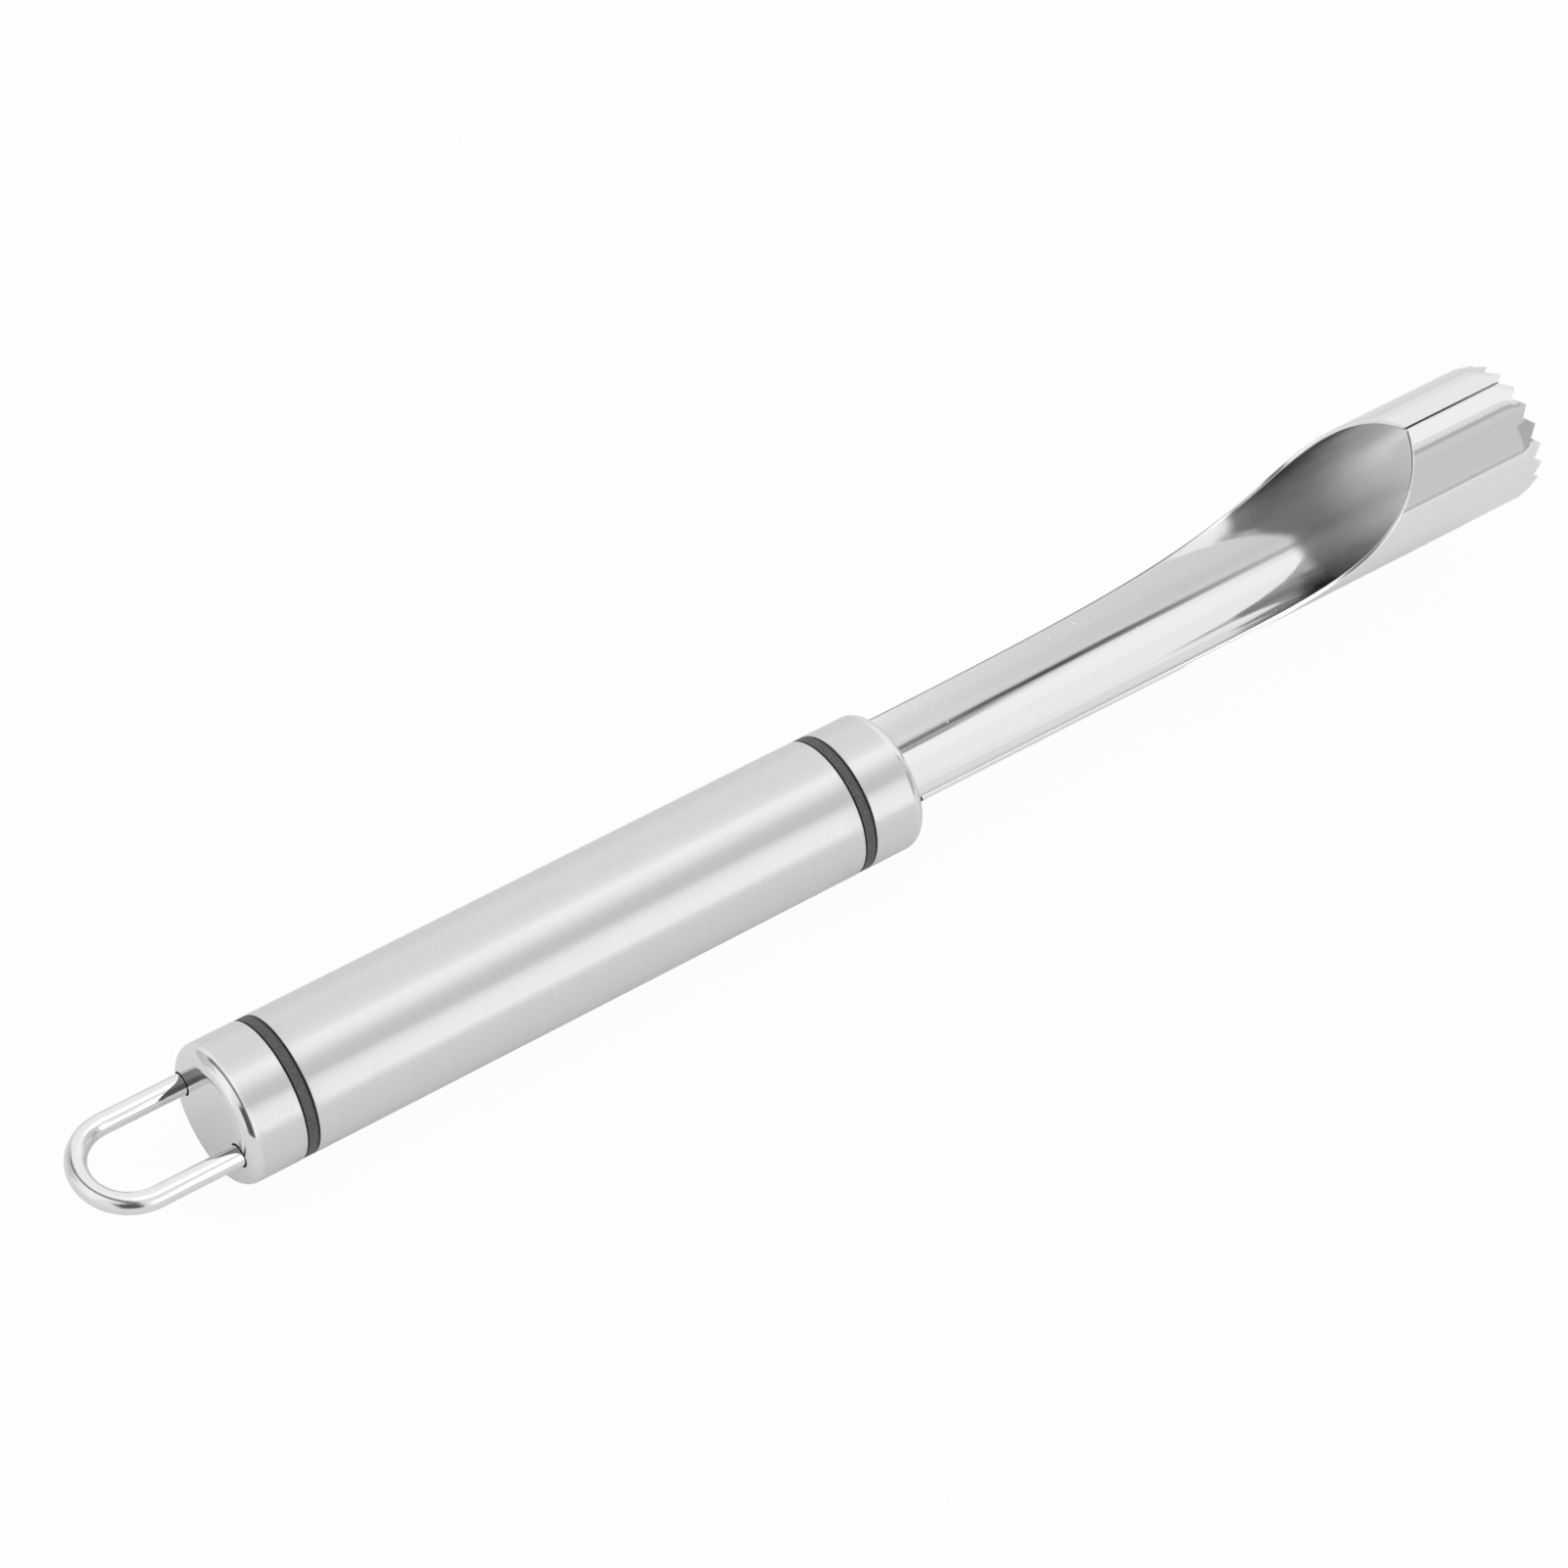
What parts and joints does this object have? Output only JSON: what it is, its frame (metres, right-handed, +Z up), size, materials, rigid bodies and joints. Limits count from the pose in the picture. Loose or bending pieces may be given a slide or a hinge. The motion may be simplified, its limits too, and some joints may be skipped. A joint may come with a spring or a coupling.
{
  "type": "apple corer",
  "caption": "Apple corer: round hollow steel handle with a wire hanging loop, and a rolled steel blade that runs from a trough to a scoop and a toothed cutting tube.",
  "frame": {"origin": "under the middle of the overall length, on the plane that the handle's underside lies on", "axes": "+X along the handle from the hanging loop to the teeth, +Z up with the blade's seam on top, +Y across, square to the plane of symmetry"},
  "size_m": [0.2361, 0.0204, 0.0292],
  "materials": {
    "satin_steel": "satin, brushed round the handle",
    "polished_steel": "polished stainless steel sheet and wire, with faint drawing marks",
    "ring_rubber": "matt dark grey",
    "nylon": "moulded, matt, hidden",
    "plated_steel": "plain plated steel, hidden"
  },
  "bodies": {
    "root": {"hanging_loop": "polished_steel", "loop_plate": "plated_steel", "rear_cap": "satin_steel", "rear_ring": "ring_rubber", "rear_insert": "nylon", "handle_tube": "satin_steel", "front_ring": "ring_rubber", "front_insert": "nylon", "tang_pin": "plated_steel", "front_collar": "satin_steel", "corer_blade": "polished_steel"}
  },
  "joints": []
}
